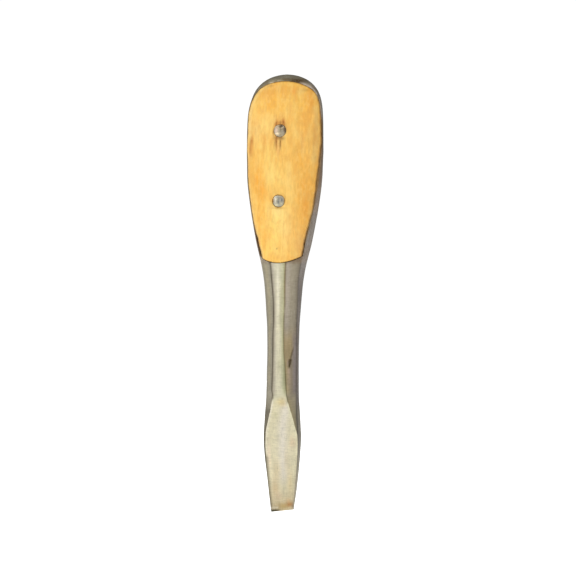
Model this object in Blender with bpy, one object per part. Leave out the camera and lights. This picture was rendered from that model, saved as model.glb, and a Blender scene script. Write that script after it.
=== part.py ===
"""Flat-blade screwdriver: one forged steel body, two wooden scales and two rivets.

The tool stands on its tip. +Z runs from the tip to the butt, +X across the blade and -Y is the
front. The origin is the centre of the tip's end. All sizes are in metres.
"""

import math

import bmesh
import bpy

MM = 0.001

# Driving dimensions of the whole tool.
TOTAL_LENGTH = 178.0 * MM
HANDLE_HALF_WIDTH = 16.05 * MM
WIDEST_HEIGHT = 146.0 * MM
CLEARANCE = 0.3 * MM

# The butt's outline is a superellipse that starts at the handle's widest height.
BUTT_RISE_POWER = 4.8
BUTT_WIDTH_POWER = 1.6
APEX_HALF_WIDTH = 1.4 * MM

# The forging's half width below the butt: height, half width.
WIDTH_STATIONS = (
    (0.0, 4.70),
    (16.0, 6.20),
    (24.0, 7.05),
    (30.0, 7.28),
    (38.0, 6.85),
    (48.0, 6.42),
    (64.0, 6.25),
    (75.0, 6.32),
    (84.0, 6.80),
    (92.0, 7.20),
    (98.0, 7.95),
    (110.0, 10.70),
    (126.0, 13.95),
    (136.0, 15.42),
    (146.0, 16.05),
)

# The forging's eight-sided section: height, half thickness, half front flat, half side flat.
# The blade's faces are true flats up to the second station.
SECTION_STATIONS = (
    (0.0, 0.60, 4.50, 0.42),
    (20.0, 1.76, 6.42, 1.56),
    (27.0, 2.20, 7.00, 1.98),
    (31.0, 2.65, 6.90, 2.25),
    (37.0, 3.70, 5.75, 2.35),
    (48.0, 6.20, 2.95, 1.95),
    (64.0, 6.75, 2.55, 1.60),
    (82.0, 7.35, 2.70, 2.45),
    (98.0, 8.55, 3.10, 3.90),
    (110.0, 8.60, 4.20, 4.20),
    (126.0, 8.30, 5.60, 3.10),
    (146.0, 7.60, 6.60, 1.25),
    (158.0, 6.90, 6.40, 1.05),
    (167.0, 5.40, 5.80, 1.45),
    (172.0, 4.20, 4.60, 2.10),
    (175.5, 3.30, 2.90, 2.00),
    (178.0, 1.60, 0.60, 1.00),
)
STATION_COLUMNS = {"thickness": 1, "front_flat": 2, "side_flat": 3}

# Heights between which the forging is lofted, with the number of steps in each stretch.
LOFT_STRETCHES = (
    (0.0, 20.0, 4),
    (20.0, 50.0, 15),
    (50.0, 98.0, 14),
    (98.0, 160.0, 20),
    (160.0, 178.0, 18),
)

# The pockets on both sides of the web hold the scales.
WEB_HALF_THICKNESS = 1.0 * MM
RIM_STATIONS = (
    (100.0, 1.20),
    (110.0, 1.15),
    (120.0, 0.80),
    (150.0, 0.65),
    (162.0, 0.70),
    (168.0, 0.90),
    (171.0, 1.60),
    (174.0, 3.00),
)
SHOULDER_HEIGHT = 100.9 * MM
SHOULDER_RADIUS = 15.6 * MM
CAP_EDGE_HEIGHT = 174.7 * MM
CAP_EDGE_RADIUS = 18.0 * MM

# The scales: crown height above the middle plane, and how they round over towards the rim.
CROWN_STATIONS = (
    (100.0, 8.45),
    (112.0, 8.55),
    (126.0, 8.30),
    (146.0, 7.65),
    (156.0, 7.15),
    (166.0, 5.70),
    (175.0, 3.40),
)
CROWN_POWER = 2.4
SCALE_PROUD = 0.15 * MM
SCALE_COLUMNS = 18
SCALE_ROWS = 34

# The rivets pass through both scales and the web.
RIVET_HEIGHTS = {"lower_rivet": 126.0 * MM, "upper_rivet": 154.4 * MM}
RIVET_RADIUS = 1.7 * MM
RIVET_HEAD_RADIUS = 2.6 * MM
RIVET_HEAD_PROUD = 0.35 * MM
RIVET_HEAD_EDGE = 0.10 * MM
RIVET_SEAT_DEPTH = 0.8 * MM
ROUND_SEGMENTS = 28

# Edges sharper than this stay crisp; everything else is shaded smooth.
EDGE_ANGLE = math.radians(30)

STEEL = ("forged_steel", (0.60, 0.57, 0.50), 0.38, 1.0)
RIVET_STEEL = ("rivet_steel", (0.66, 0.65, 0.60), 0.35, 1.0)
WOOD = ("wood", (0.86, 0.60, 0.27), 0.50, 0.0)


def clear_scene():
    for item in list(bpy.data.objects):
        bpy.data.objects.remove(item, do_unlink=True)


def make_material(name, colour, roughness, metallic):
    material = bpy.data.materials.get(name) or bpy.data.materials.new(name)
    material.use_nodes = True
    shader = material.node_tree.nodes["Principled BSDF"]
    shader.inputs["Base Color"].default_value = (*colour, 1.0)
    shader.inputs["Roughness"].default_value = roughness
    shader.inputs["Metallic"].default_value = metallic
    return material


def slope_at(points, column, index):
    """Slope through a station: zero at a turning point, else the mean of both sides' slopes."""
    def side(first):
        (start, end) = (points[first], points[first + 1])
        return (end[column] - start[column]) / (end[0] - start[0])

    if index == 0:
        return side(0)
    if index == len(points) - 1:
        return side(index - 1)
    (before, after) = (side(index - 1), side(index))
    if before * after <= 0.0:
        return 0.0
    return 2.0 * before * after / (before + after)


def station_value(points, column, height):
    """Smooth value at a height, from stations in millimetres; the result is in metres."""
    level = min(max(height / MM, points[0][0]), points[-1][0])
    index = 0
    while index < len(points) - 2 and level > points[index + 1][0]:
        index += 1
    (low, high) = (points[index], points[index + 1])
    span = high[0] - low[0]
    t = (level - low[0]) / span
    rise = slope_at(points, column, index) * span
    fall = slope_at(points, column, index + 1) * span
    start_weight = 2 * t**3 - 3 * t**2 + 1
    end_weight = 3 * t**2 - 2 * t**3
    value = start_weight * low[column] + end_weight * high[column]
    value += (t**3 - 2 * t**2 + t) * rise + (t**3 - t**2) * fall
    return value * MM


def half_width(height):
    if height <= WIDEST_HEIGHT:
        return station_value(WIDTH_STATIONS, 1, height)
    t = (height - WIDEST_HEIGHT) / (TOTAL_LENGTH - WIDEST_HEIGHT)
    round_over = max(1.0 - t**BUTT_RISE_POWER, 0.0) ** (1.0 / BUTT_WIDTH_POWER)
    return max(HANDLE_HALF_WIDTH * round_over, APEX_HALF_WIDTH)


def section_value(name, height):
    return station_value(SECTION_STATIONS, STATION_COLUMNS[name], height)


def pocket_half_width(height):
    return half_width(height) - station_value(RIM_STATIONS, 1, height)


def arc_rise(x, radius):
    """How far a circle's end lies beyond its edge at x, measured along its axis."""
    return radius - math.sqrt(max(radius**2 - x**2, 0.0))


def shoulder_height(x):
    return SHOULDER_HEIGHT + arc_rise(x, SHOULDER_RADIUS)


def cap_edge_height(x):
    return CAP_EDGE_HEIGHT - arc_rise(x, CAP_EDGE_RADIUS)


def panel_point(across, along, inset):
    """Point (x, z) on a scale's outline patch; across runs -1 to 1, and along 0 to 1."""
    x = 0.0
    z = 0.5 * (SHOULDER_HEIGHT + CAP_EDGE_HEIGHT)
    for _ in range(12):
        x = across * (pocket_half_width(z) - inset)
        low = shoulder_height(x) + inset
        high = cap_edge_height(x) - inset
        z = low + along * (high - low)
    return (x, z)


def panel_loop(inset):
    """Closed outline of a scale, shrunk by inset."""
    ups = [row / SCALE_ROWS for row in range(SCALE_ROWS)]
    rights = [math.sin(math.pi * (column / SCALE_COLUMNS - 0.5)) for column in range(SCALE_COLUMNS)]
    loop = [panel_point(across, 0.0, inset) for across in rights]
    loop += [panel_point(1.0, along, inset) for along in ups]
    loop += [panel_point(-across, 1.0, inset) for across in rights]
    loop += [panel_point(-1.0, 1.0 - along, inset) for along in ups]
    return loop


def new_object(name, mesh_builder, material=None):
    """Add an object from a bmesh, with its faces turned outwards."""
    bmesh.ops.recalc_face_normals(mesh_builder, faces=mesh_builder.faces)
    mesh = bpy.data.meshes.new(name)
    mesh_builder.to_mesh(mesh)
    mesh_builder.free()
    item = bpy.data.objects.new(name, mesh)
    bpy.context.collection.objects.link(item)
    if material:
        mesh.materials.append(material)
    return item


def smooth_between_edges(item):
    item.data.shade_smooth()
    item.data.set_sharp_from_angle(angle=EDGE_ANGLE)


def bridge_rings(mesh_builder, rings):
    """Join successive closed rings of vertices with quads and cap both ends."""
    for (lower, upper) in zip(rings, rings[1:]):
        count = len(lower)
        for index in range(count):
            after = (index + 1) % count
            mesh_builder.faces.new((lower[index], lower[after], upper[after], upper[index]))
    mesh_builder.faces.new(rings[0])
    mesh_builder.faces.new(rings[-1])


def section_ring(height):
    """Eight corners of the forging's section, anticlockwise seen from above."""
    width = half_width(height)
    thickness = section_value("thickness", height)
    front = min(section_value("front_flat", height), 0.97 * width)
    side = min(section_value("side_flat", height), 0.97 * thickness)
    quarter = ((front, -thickness), (width, -side), (width, side), (front, thickness))
    return [(x, y, height) for (x, y) in quarter] + [(-x, -y, height) for (x, y) in quarter]


def loft_heights():
    heights = []
    for (start, end, steps) in LOFT_STRETCHES:
        heights += [(start + (end - start) * step / steps) * MM for step in range(steps)]
    return heights + [TOTAL_LENGTH]


def add_cutter(target, cutter):
    cutter.hide_render = True
    cutter.display_type = "WIRE"
    cut = target.modifiers.new("cut_" + cutter.name, "BOOLEAN")
    cut.operation = "DIFFERENCE"
    cut.solver = "EXACT"
    cut.object = cutter


def pocket_cutter(name, side):
    """Prism that opens a scale's pocket; side is -1 at the front and +1 at the back."""
    depths = (side * WEB_HALF_THICKNESS, side * 12.0 * MM)
    builder = bmesh.new()
    rings = [[builder.verts.new((x, depth, z)) for (x, z) in panel_loop(0.0)] for depth in depths]
    bridge_rings(builder, rings)
    return new_object(name, builder)


def turned_solid(name, profile, height, material=None):
    """Solid turned about a line along Y at the given height, from (radius, y) points."""
    builder = bmesh.new()
    rings = []
    for (radius, y) in profile:
        angles = [2 * math.pi * step / ROUND_SEGMENTS for step in range(ROUND_SEGMENTS)]
        spots = [(radius * math.cos(angle), y, height + radius * math.sin(angle)) for angle in angles]
        rings.append([builder.verts.new(spot) for spot in spots])
    bridge_rings(builder, rings)
    item = new_object(name, builder, material)
    smooth_between_edges(item)
    return item


def crown(height):
    return station_value(CROWN_STATIONS, 1, height)


def rim_height(height):
    """Height of the steel rim's inner edge above the middle plane."""
    (side, thickness) = (section_value("side_flat", height), section_value("thickness", height))
    width = half_width(height)
    across = (width - pocket_half_width(height)) / (width - section_value("front_flat", height))
    return side + across * (thickness - side)


def scale_surface(across, height):
    """Height of a scale's outer face above the middle plane."""
    edge = rim_height(height) + SCALE_PROUD
    top = max(crown(height), edge)
    return edge + (top - edge) * math.sqrt(max(1.0 - abs(across) ** CROWN_POWER, 0.0))


def hole_cutter(name, height, radius):
    reach = 14.0 * MM
    return turned_solid(name, ((radius, -reach), (radius, reach)), height)


def seat_cutter(name, height, side):
    """Recess in a scale for a rivet's head."""
    radius = RIVET_HEAD_RADIUS + CLEARANCE
    floor = crown(height) - RIVET_SEAT_DEPTH
    return turned_solid(name, ((radius, side * floor), (radius, side * 14.0 * MM)), height)


def make_forging():
    builder = bmesh.new()
    rings = []
    for height in loft_heights():
        rings.append([builder.verts.new(corner) for corner in section_ring(height)])
    bridge_rings(builder, rings)
    forging = new_object("steel_forging", builder, make_material(*STEEL))
    smooth_between_edges(forging)
    add_cutter(forging, pocket_cutter("front_pocket", -1))
    add_cutter(forging, pocket_cutter("back_pocket", 1))
    for (name, height) in RIVET_HEIGHTS.items():
        add_cutter(forging, hole_cutter(name + "_web_hole", height, RIVET_RADIUS + CLEARANCE))
    return forging


def make_scale(name, side):
    """Wooden scale on one side of the web: -1 is the front and +1 the back."""
    builder = bmesh.new()
    grid = []
    for row in range(SCALE_ROWS + 1):
        line = []
        for column in range(SCALE_COLUMNS + 1):
            across = math.sin(math.pi * (column / SCALE_COLUMNS - 0.5))
            (x, z) = panel_point(across, row / SCALE_ROWS, CLEARANCE)
            line.append(builder.verts.new((x, side * scale_surface(across, z), z)))
        grid.append(line)
    for (lower, upper) in zip(grid, grid[1:]):
        for column in range(SCALE_COLUMNS):
            builder.faces.new((lower[column], lower[column + 1], upper[column + 1], upper[column]))
    rim = grid[0][:-1] + [line[-1] for line in grid[:-1]]
    rim += grid[-1][:0:-1] + [line[0] for line in grid[:0:-1]]
    back = side * (WEB_HALF_THICKNESS + CLEARANCE)
    floor = [builder.verts.new((spot.co.x, back, spot.co.z)) for spot in rim]
    for index in range(len(rim)):
        after = (index + 1) % len(rim)
        builder.faces.new((rim[index], rim[after], floor[after], floor[index]))
    builder.faces.new(floor)
    scale = new_object(name, builder, make_material(*WOOD))
    smooth_between_edges(scale)
    for (rivet, height) in RIVET_HEIGHTS.items():
        add_cutter(scale, hole_cutter(name + "_" + rivet + "_hole", height, RIVET_RADIUS + CLEARANCE))
        add_cutter(scale, seat_cutter(name + "_" + rivet + "_seat", height, side))
    return scale


def make_rivet(name, height):
    """Through rivet with a low domed head on each side."""
    seat = crown(height) - RIVET_SEAT_DEPTH + CLEARANCE
    top = crown(height) + RIVET_HEAD_PROUD
    shoulder = crown(height) + RIVET_HEAD_EDGE
    half = [
        (RIVET_RADIUS, seat),
        (RIVET_HEAD_RADIUS, seat),
        (RIVET_HEAD_RADIUS, shoulder),
        (0.75 * RIVET_HEAD_RADIUS, 0.5 * (shoulder + top)),
        (0.40 * RIVET_HEAD_RADIUS, top),
    ]
    profile = [(radius, -y) for (radius, y) in reversed(half)] + half
    return turned_solid(name, profile, height, make_material(*RIVET_STEEL))


clear_scene()
make_forging()
make_scale("front_scale", -1)
make_scale("back_scale", 1)
for (rivet_name, rivet_height) in RIVET_HEIGHTS.items():
    make_rivet(rivet_name, rivet_height)
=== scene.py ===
"""Looks of the flat-blade screwdriver: worn forged steel, oiled wooden scales, hammered rivets.

Shapes are worked out in millimetres in the frame's axes (tip at zero, +Z to the butt, -Y the
front) and become metres when a mesh is made.
"""

import math

import bmesh
import bpy
import numpy as np
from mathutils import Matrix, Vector, noise


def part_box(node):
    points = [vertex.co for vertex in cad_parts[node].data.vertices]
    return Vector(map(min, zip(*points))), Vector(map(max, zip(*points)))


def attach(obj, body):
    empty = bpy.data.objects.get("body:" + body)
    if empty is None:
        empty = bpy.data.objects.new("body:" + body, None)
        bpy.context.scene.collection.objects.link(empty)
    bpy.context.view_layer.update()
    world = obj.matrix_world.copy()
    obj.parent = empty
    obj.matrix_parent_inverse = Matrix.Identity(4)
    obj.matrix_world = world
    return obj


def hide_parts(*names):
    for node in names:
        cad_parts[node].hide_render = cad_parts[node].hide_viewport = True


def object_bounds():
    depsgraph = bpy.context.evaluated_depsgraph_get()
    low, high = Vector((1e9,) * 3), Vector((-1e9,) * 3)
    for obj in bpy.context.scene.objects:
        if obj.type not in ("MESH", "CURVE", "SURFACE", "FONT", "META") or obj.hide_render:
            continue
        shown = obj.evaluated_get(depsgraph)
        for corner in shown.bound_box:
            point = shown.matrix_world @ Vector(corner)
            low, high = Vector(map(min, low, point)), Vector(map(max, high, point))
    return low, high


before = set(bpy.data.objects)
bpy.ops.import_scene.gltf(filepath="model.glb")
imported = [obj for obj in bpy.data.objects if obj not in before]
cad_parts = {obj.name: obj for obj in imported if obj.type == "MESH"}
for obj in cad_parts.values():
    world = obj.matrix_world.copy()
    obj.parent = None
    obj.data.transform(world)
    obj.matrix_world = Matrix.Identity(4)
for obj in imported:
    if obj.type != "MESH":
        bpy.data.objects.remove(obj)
(cad_low, cad_high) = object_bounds()

MM = 0.001
FRONT = -1.0
BACK = 1.0
BOX_MARGIN = 0.01
TOP = cad_high.z / MM
REACH_X = cad_high.x / MM - BOX_MARGIN
REACH_Y = cad_high.y / MM - BOX_MARGIN
RIVETS = ("upper_rivet", "lower_rivet")


def rivet_place(name):
    """Height, head radius and half length of a rivet, in millimetres."""
    (low, high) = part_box(name)
    return (0.5 * (low.z + high.z) / MM, 0.5 * (high.x - low.x) / MM, high.y / MM)


# -------- curves, bells and noise


class Curve:
    """Smooth curve through a few (place, value) points; level beyond both ends."""

    def __init__(self, *points):
        table = np.array(points, float)
        (self.at, self.value) = (table[:, 0], table[:, 1])
        rise = np.diff(self.value) / np.diff(self.at)
        (before, after) = (rise[:-1], rise[1:])
        same_way = before * after > 0
        total = np.where(same_way, before + after, 1)
        inner = np.where(same_way, 2 * before * after / total, 0)
        self.slope = np.concatenate(([rise[0]], inner, [rise[-1]]))

    def __call__(self, place):
        place = np.clip(place, self.at[0], self.at[-1])
        i = np.clip(np.searchsorted(self.at, place, side="right") - 1, 0, len(self.at) - 2)
        span = self.at[i + 1] - self.at[i]
        t = (place - self.at[i]) / span
        ends = (2 * t**3 - 3 * t**2 + 1) * self.value[i] + (3 * t**2 - 2 * t**3) * self.value[i + 1]
        pulls = (t**3 - 2 * t**2 + t) * self.slope[i] + (t**3 - t**2) * self.slope[i + 1]
        return ends + pulls * span


def ramp(place, start, end):
    """0 before start, 1 past end, and a smooth rise between them."""
    t = np.clip((place - start) / (end - start), 0, 1)
    return t * t * (3 - 2 * t)


def band(place, start, end, soft):
    """1 between start and end, fading to 0 over soft on both sides."""
    return ramp(place, start - soft, start) * (1 - ramp(place, end, end + soft))


def bell(place, centre, reach):
    """Bell curve, 1 at the centre and about a third at reach."""
    return np.exp(-(((place - centre) / reach) ** 2))


SEED_STEP = 17.31


def waves(points, size, seed, detail=3):
    """Smooth noise from -1 to 1; size is the wave length in millimetres along each axis."""
    scaled = np.asarray(points, float) / np.asarray(size, float) + seed * SEED_STEP
    return np.array([noise.fractal(Vector(spot), 1, 2, detail) for spot in scaled])


# -------- outline and sections

# The butt's dome starts at BUTT_START and ends a little below the CAD's flat end.
BUTT_START = 146
DOME_TOP = TOP - 0.4
DOME_POWER = 4.5
DOME_LEAST = 0.5
# All curves below give millimetres for each height.
HALF_WIDTH = Curve(
    (0, 4.72), (8, 5.62), (16, 6.42), (24, 7.1), (30, 7.33), (38, 6.93), (48, 6.42),
    (64, 6.3), (75, 6.36), (84, 6.8), (92, 7.2), (98, 7.95), (110, 10.75),
    (126, 13.98), (136, 15.45), (146, 16.02),
)
HALF_THICKNESS = Curve(
    (0, 0.55), (20, 1.72), (27, 2.2), (31, 2.65), (37, 3.85), (46.8, 6.1),
    (48, 6.25), (64, 6.75), (82, 7.35), (98, 8.45), (110, 8.5), (126, 8.2),
    (146, 7.5), (158, 6.85), (167, 5.35), (172, 4.15), (175.5, 3), (177, 1.9),
    (177.6, 0.9),
)
FRONT_FLAT = Curve(
    (0, 4.5), (20, 6.42), (27, 7), (31, 6.9), (37, 5.75), (46.8, 3.1),
    (48, 2.9), (64, 2.55), (82, 2.7), (98, 3.1), (110, 4.2), (126, 5.6),
    (146, 6.6), (158, 6.4), (167, 5.8), (172, 4.6), (175.5, 2.9), (177.6, 0.4),
)
SIDE_FLAT = Curve(
    (0, 0.4), (20, 1.52), (27, 1.95), (31, 2.2), (37, 2.35), (48, 1.95),
    (64, 1.6), (82, 2.45), (98, 3.9), (110, 4.2), (126, 3.1), (146, 1.25),
    (158, 1.05), (167, 1.45), (172, 2), (175.5, 1.6), (177.6, 0.6),
)
# How far the front's two edge lines stray towards +X, because the tool is ground by hand.
LEFT_STRAY = Curve(
    (0, 0.15), (12, 0.05), (19, 0.15), (25, 0.45), (32, 0.55), (40, 0.8), (46.5, 0.6),
    (50, 0.05), (62, 0.15), (72, 0.3), (79, 0.65), (86, 0.72), (94, 0.4), (101, 0),
)
RIGHT_STRAY = Curve(
    (0, 0), (12, 0), (17, 0.2), (30, 0.36), (35, 0.14), (44, 0.38),
    (47, 0.62), (52, 0.52), (60, 0.3), (66, -0.1), (76, -0.2), (86, 0.1),
    (98, 0.1), (104, 0),
)
# How far each corner of the section is cut back, and how far each facet bulges.
ARRIS_CUT = Curve(
    (0, 0.08), (25, 0.14), (45, 0.3), (60, 0.45), (98, 0.5), (160, 0.5),
    (172, 1.1), (177.6, 0.3),
)
FACET_CROWN = Curve((0, 0), (28, 0.03), (50, 0.12), (98, 0.2), (178, 0.12))
# How far the tool's middle line strays towards +X.
AXIS_DRIFT = Curve(
    (0, 0.36), (12, 0.33), (26, 0.06), (40, 0), (160, 0), (170, 0.45), (177.6, 0.68),
)
# Width of steel left beside a scale.
RIM = Curve(
    (100, 1.2), (110, 1.1), (120, 0.75), (150, 0.62), (162, 0.66), (168, 0.85),
    (171, 1.5), (174, 2.8),
)
# The scales end in two arcs: one on the shoulder and one under the cap.
SHOULDER = 100.9
SHOULDER_RADIUS = 15.6
CAP_EDGE = 174.8
CAP_EDGE_RADIUS = 21
HALF_WEB = 1
END_GAP_SHARE = 0.6
SHOULDER_GAP_SHARE = 1.4
PANEL_PASSES = 16


def half_width(z):
    """Half width of the forging, with the round butt."""
    t = np.clip((z - BUTT_START) / (DOME_TOP - BUTT_START), 0, 1)
    butt = HALF_WIDTH.value[-1] * np.sqrt(1 - t**DOME_POWER)
    return np.where(z <= BUTT_START, HALF_WIDTH(z), np.maximum(butt, DOME_LEAST))


def chamfer_height(x, z):
    """Height above the middle plane of the steel's sloping face at x."""
    (side, thick) = (SIDE_FLAT(z), HALF_THICKNESS(z))
    (width, front) = (half_width(z), FRONT_FLAT(z))
    share = np.clip((width - np.abs(x)) / (width - front), 0, 1)
    return side + share * (thick - side)


def arc_drop(x, radius):
    """How far an arc falls at x from its highest point."""
    return radius - np.sqrt(np.maximum(radius**2 - x**2, 0))


def shoulder_line(x):
    """Height of a seat's lower end at x."""
    return SHOULDER + arc_drop(x, SHOULDER_RADIUS)


def cap_line(x):
    """Height of a seat's upper end at x."""
    return CAP_EDGE - arc_drop(x, CAP_EDGE_RADIUS)


# Where the edge of a scale's seat strays inwards (+) or outwards (-) from its drawn line.
FRONT_SEAT_EDGES = (
    Curve(
        (100, -0.1), (105, -0.05), (110, -0.15), (117, -0.02), (127, 0.02), (134, 0.06),
        (143, 0.08), (149, -0.16), (154, 0.06), (162, -0.05), (168, 0.1), (174, 0),
    ),
    Curve(
        (100, -1.05), (104, -1.05), (107, -0.92), (110.5, -0.68), (113.7, -0.6), (117, -0.42),
        (120, -0.42), (123.5, -0.52), (126.5, -0.32), (130, -0.22), (135, 0.18), (141, -0.02),
        (146, -0.16), (151, -0.48), (156, -0.3), (162, -0.36), (168, -0.45), (174, -0.55),
    ),
)
STRAIGHT = Curve((0, 0), (200, 0))
BACK_SEAT_EDGES = (STRAIGHT, STRAIGHT)


def nothing(x, z):
    """Neither gap nor dent, anywhere."""
    return 0 * z


def seat_reach(across, z, edges, gap):
    """Half width of a scale or of its seat, on the side that across points to."""
    inset = np.where(across < 0, edges[0](z), edges[1](z)) + gap(across, z)
    return half_width(z) - RIM(z) - inset


def panel(across, along, edges, gap):
    """Places (x, z) on a scale's patch; across runs -1 to 1, and along 0 (shoulder) to 1 (cap)."""
    z = np.full_like(across, 0.5 * (SHOULDER + CAP_EDGE))
    x = np.zeros_like(across)
    for _ in range(PANEL_PASSES):
        x = across * seat_reach(across, z, edges, gap)
        end_gap = END_GAP_SHARE * gap(0 * across, z)
        low = shoulder_line(x) + SHOULDER_GAP_SHARE * end_gap
        high = cap_line(x) - end_gap
        z = low + along * (high - low)
    return (x, z)


# -------- mesh helpers


def add_object(name, data):
    item = bpy.data.objects.new(name, data)
    bpy.context.scene.collection.objects.link(item)
    return item


def new_mesh_object(name, points, faces):
    """Object from points in millimetres and lists of corner numbers."""
    mesh = bpy.data.meshes.new(name)
    mesh.from_pydata((np.asarray(points) * MM).tolist(), [], faces)
    mesh.validate()
    builder = bmesh.new()
    builder.from_mesh(mesh)
    bmesh.ops.recalc_face_normals(builder, faces=builder.faces)
    builder.to_mesh(mesh)
    builder.free()
    return add_object(name, mesh)


def ring_faces(rows, count):
    """Quads between successive closed rings, and a cap at each end."""
    ring = np.arange(rows * count).reshape(rows, count)
    after = np.roll(ring, -1, axis=1)
    quads = np.stack((ring[:-1], after[:-1], after[1:], ring[1:]), -1).reshape(-1, 4)
    return quads.tolist() + [ring[0, ::-1].tolist(), ring[-1].tolist()]


def cut_away(item, cutters):
    """Subtract the cutters from item for good, and remove them."""
    for cutter in cutters:
        modifier = item.modifiers.new("cut", "BOOLEAN")
        modifier.operation = "DIFFERENCE"
        modifier.solver = "EXACT"
        modifier.object = cutter
    bpy.context.view_layer.update()
    shape = bpy.data.meshes.new_from_object(item.evaluated_get(bpy.context.evaluated_depsgraph_get()))
    item.modifiers.clear()
    (old, item.data) = (item.data, shape)
    bpy.data.meshes.remove(old)
    item.data.name = item.name
    for cutter in cutters:
        bpy.data.objects.remove(cutter, do_unlink=True)


def smooth(item, degrees):
    """Shade smoothly, but keep edges sharper than an angle."""
    item.data.shade_smooth()
    item.data.set_sharp_from_angle(angle=math.radians(degrees))


def points_of(item):
    """Places of the vertices, in millimetres."""
    spots = np.empty(len(item.data.vertices) * 3)
    item.data.vertices.foreach_get("co", spots)
    return spots.reshape(-1, 3) / MM


BORE_SPOKES = 64


def even_angles(count):
    return np.arange(count) * 2 * math.pi / count


def ring_at(angles, reach, y):
    """Ring round the Y axis, at a place along it; lengths in millimetres."""
    return np.stack((reach * np.cos(angles), y + 0 * angles, reach * np.sin(angles)), 1)


def disc_prism(name, radius, height, near, far):
    """Round cutter along Y at a height, from y = near to y = far."""
    angles = even_angles(BORE_SPOKES)
    rings = [ring_at(angles, radius, y) for y in (near, far)]
    return new_mesh_object(name, np.concatenate(rings) + (0, 0, height), ring_faces(2, BORE_SPOKES))


# -------- painting


def rgb(code):
    """Linear colour from a six-digit sRGB code."""
    parts = [int(code[i:i + 2], 16) / 255 for i in (0, 2, 4)]
    return tuple(p / 12.92 if p <= 0.04045 else ((p + 0.055) / 1.055) ** 2.4 for p in parts)


def dab(tint, code, share):
    """Pull painted colours towards one colour, fully where share is 1."""
    share = np.clip(share, 0, 1)[:, None]
    tint += share * (np.array(rgb(code)) - tint)


def blot(x, z, spot):
    """Soft patch from (centre x, centre z, reach x, reach z)."""
    (at_x, at_z, reach_x, reach_z) = spot
    return bell(x, at_x, reach_x) * bell(z, at_z, reach_z)


def dab_blots(tint, x, z, blots, where=1):
    """Dab a list of soft patches, each (code, centre x, centre z, reach x, reach z, share)."""
    for (code, *spot, share) in blots:
        dab(tint, code, share * where * blot(x, z, spot))


def store(item, name, values):
    """Keep a number for each vertex, for the material to read."""
    layer = item.data.attributes.new(name, "FLOAT", "POINT")
    layer.data.foreach_set("value", np.clip(values, 0, 1).astype(np.float32))


def store_tint(item, values):
    """Keep the painted colour of each vertex."""
    layer = item.data.attributes.new("tint", "FLOAT_COLOR", "POINT")
    full = np.ones((len(values), 4), np.float32)
    full[:, :3] = values
    layer.data.foreach_set("color", full.ravel())


# -------- steel forging

CORNER_STEPS = 5
EDGE_STEPS = 11
FLAT_LIMIT = 0.97
STRAY_LIMIT = 0.985
CUT_LIMIT = 0.42
FULL_CROWN_LENGTH = 5


def section_corners(z):
    """Corners of the eight-sided section at each height, shape (rows, 8, 2)."""
    (width, thick) = (half_width(z), HALF_THICKNESS(z))
    front = np.minimum(FRONT_FLAT(z), FLAT_LIMIT * width)
    side = np.minimum(SIDE_FLAT(z), FLAT_LIMIT * thick)
    right = np.minimum(front + RIGHT_STRAY(z), STRAY_LIMIT * width)
    left = front - LEFT_STRAY(z)
    whole = [
        (right, -thick), (width, -side), (width, side), (front, thick),
        (-front, thick), (-width, side), (-width, -side), (-left, -thick),
    ]
    return np.stack([np.stack(pair, -1) for pair in whole], 1)


def section_rings(z):
    """Closed rounded outline at each height, shape (rows, points, 3)."""
    corners = section_corners(z)
    after = np.roll(corners, -1, axis=1)
    length = np.linalg.norm(after - corners, axis=2, keepdims=True)
    along = (after - corners) / length
    cut = np.minimum(ARRIS_CUT(z)[:, None, None], CUT_LIMIT * length)
    cut = np.minimum(cut, np.roll(cut, 1, axis=1))
    cut_end = np.roll(cut, -1, axis=1)
    outward = np.stack((along[..., 1], -along[..., 0]), -1)
    crown = FACET_CROWN(z)[:, None] * np.minimum(length[..., 0] / FULL_CROWN_LENGTH, 1)
    steps = []
    for corner in range(corners.shape[1]):
        here = corners[:, corner]
        start = here - along[:, corner - 1] * cut[:, corner]
        end = here + along[:, corner] * cut[:, corner]
        for step in range(CORNER_STEPS):
            t = step / (CORNER_STEPS - 1)
            steps.append((1 - t) ** 2 * start + 2 * t * (1 - t) * here + t**2 * end)
        far = after[:, corner] - along[:, corner] * cut_end[:, corner]
        for step in range(1, EDGE_STEPS):
            t = step / EDGE_STEPS
            rise = (crown[:, corner] * 4 * t * (1 - t))[:, None]
            steps.append(end + t * (far - end) + rise * outward[:, corner])
    flat = np.stack(steps, 1)
    return np.concatenate([flat, np.broadcast_to(z[:, None, None], flat.shape[:2] + (1,))], 2)


# Rows of the forging's mesh: (from, to, step), then rows that crowd towards the butt's end.
ROW_STRETCHES = ((0, 6, 0.3), (6, 50, 0.55), (50, 78, 0.45), (78, 166, 0.7))
DOME_ROWS = 64
DOME_CROWDING = 1.8


def forging_heights():
    """Heights of the rows of the forging's mesh."""
    heights = [np.arange(start, end, step) for (start, end, step) in ROW_STRETCHES]
    left = DOME_TOP - ROW_STRETCHES[-1][1]
    close = left * np.linspace(1, 0, DOME_ROWS) ** DOME_CROWDING
    return np.concatenate(heights + [DOME_TOP - close])


POCKET_COLUMNS = 61
POCKET_ROWS = 181
POCKET_REACH = 12
BORE_REACH = 5
STEEL_BORE_SHARE = 0.66


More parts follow.
